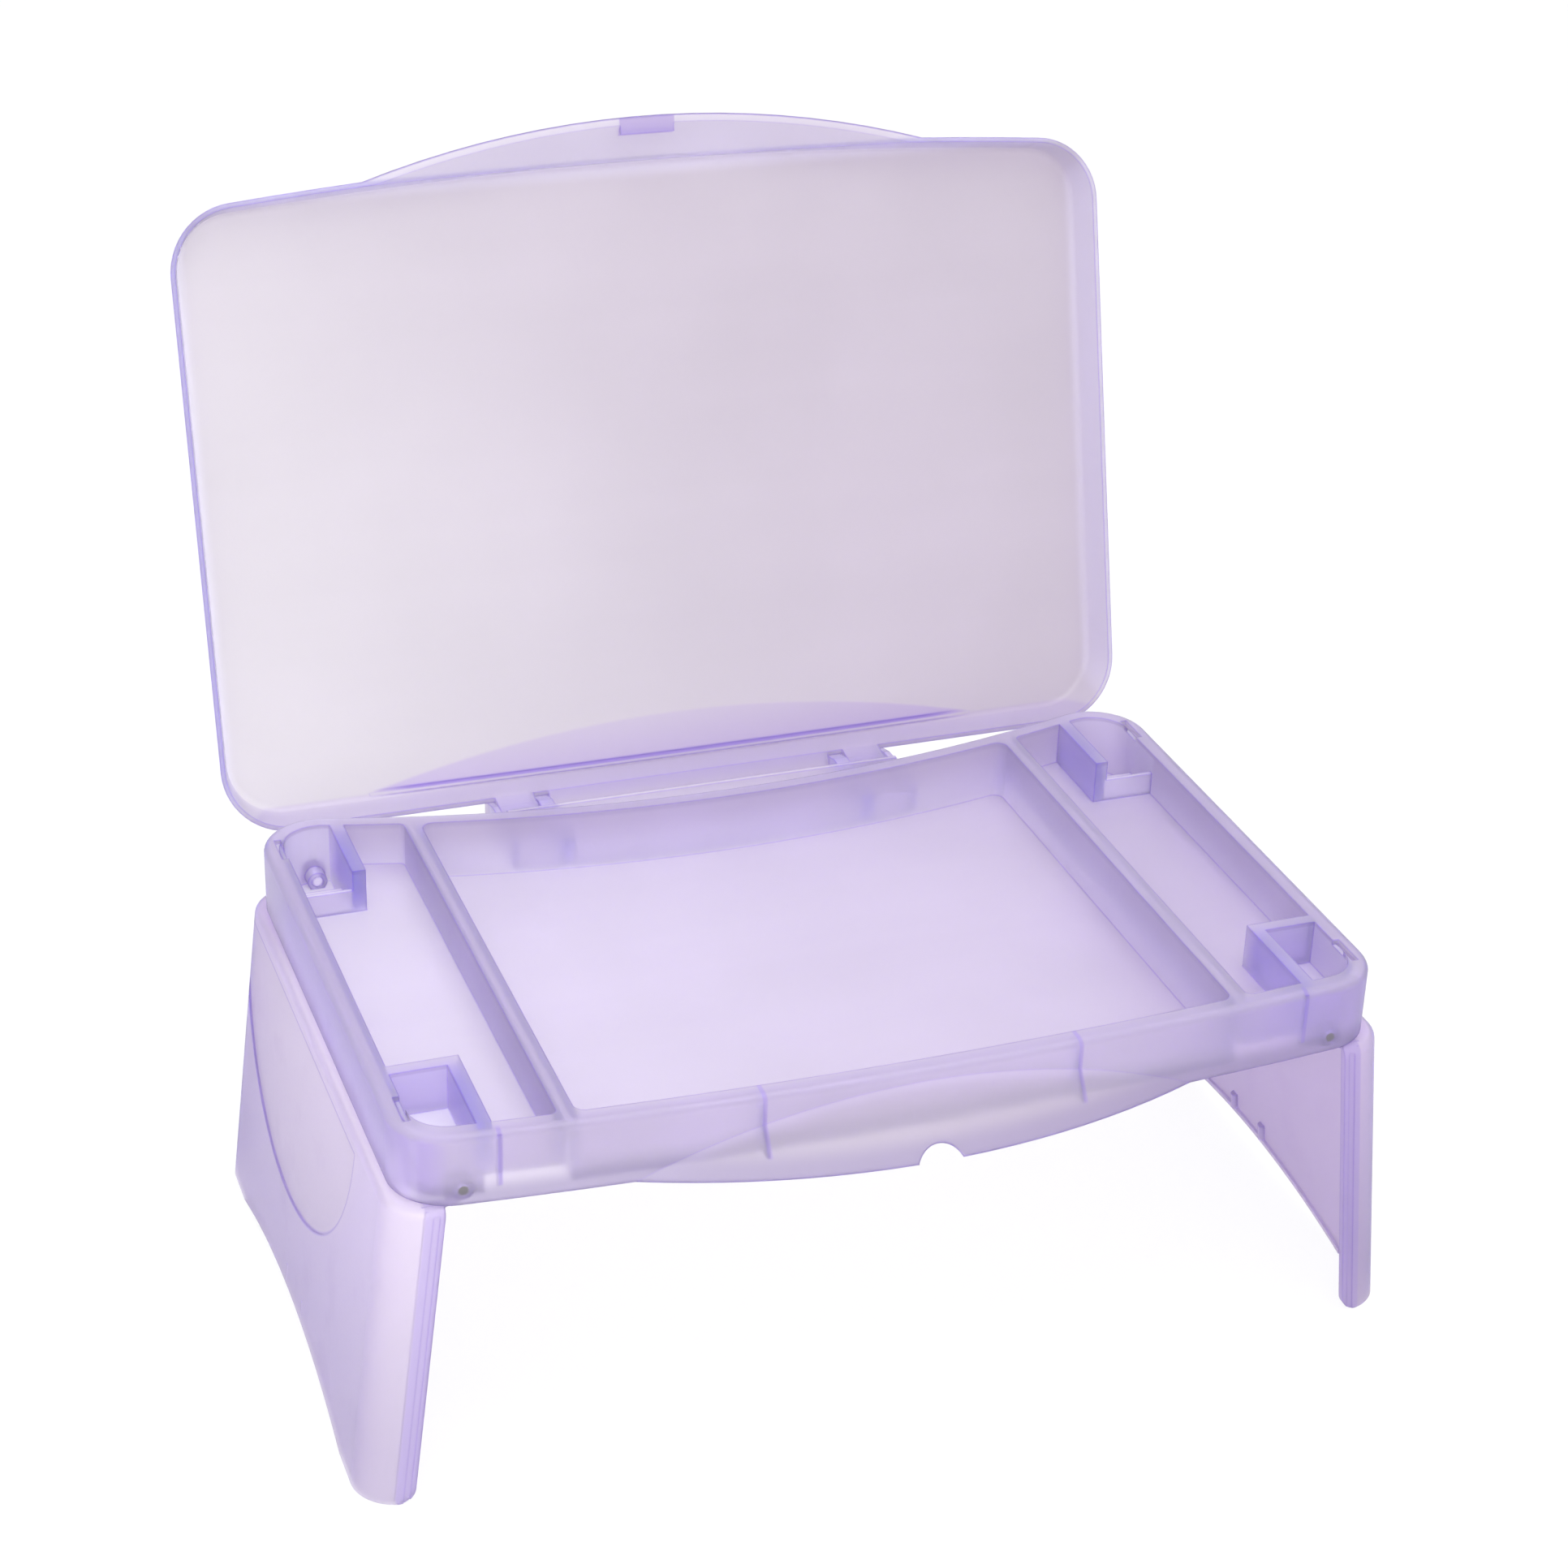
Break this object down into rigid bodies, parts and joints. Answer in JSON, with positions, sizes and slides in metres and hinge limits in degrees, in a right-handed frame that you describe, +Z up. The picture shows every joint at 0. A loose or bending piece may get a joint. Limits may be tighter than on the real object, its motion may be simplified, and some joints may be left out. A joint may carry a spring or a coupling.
{
  "type": "lap desk",
  "caption": "Translucent folding lap desk: a tray with compartments under a hinged lid, standing on two fold-under legs.",
  "frame": {"origin": "on the floor, under the middle of the object's bounding box with the lid open and the legs out", "axes": "+X to the user's right along the tray's width, +Y from the user to the hinge side, +Z up"},
  "size_m": [0.4798, 0.4201, 0.464],
  "materials": {
    "tray_plastic": "satin",
    "lid_plastic": "satin",
    "leg_plastic": "satin",
    "hinge_pin": "satin"
  },
  "bodies": {
    "tray": {"tray": "tray_plastic", "leg_hinge_pin_left_front": "hinge_pin", "leg_hinge_pin_left_rear": "hinge_pin", "leg_hinge_pin_right_front": "hinge_pin", "leg_hinge_pin_right_rear": "hinge_pin", "lid_hinge_pin_left": "hinge_pin", "lid_hinge_pin_right": "hinge_pin"},
    "lid": {"lid": "lid_plastic"},
    "left_leg": {"left_leg": "leg_plastic"},
    "right_leg": {"right_leg": "leg_plastic"}
  },
  "joints": [
    {"name": "lid_hinge", "type": "hinge", "parent": "tray", "child": "lid", "pos_m": [0, 0.10877, 0.154], "axis": [1, 0, 0], "range_deg": [0, 104.8]},
    {"name": "left_leg_fold", "type": "hinge", "parent": "tray", "child": "left_leg", "pos_m": [-0.1937, 0, 0.151], "axis": [0, -1, 0], "range_deg": [0, 96.4]},
    {"name": "right_leg_fold", "type": "hinge", "parent": "tray", "child": "right_leg", "pos_m": [0.1937, 0, 0.151], "axis": [0, 1, 0], "range_deg": [0, 96.4]}
  ]
}
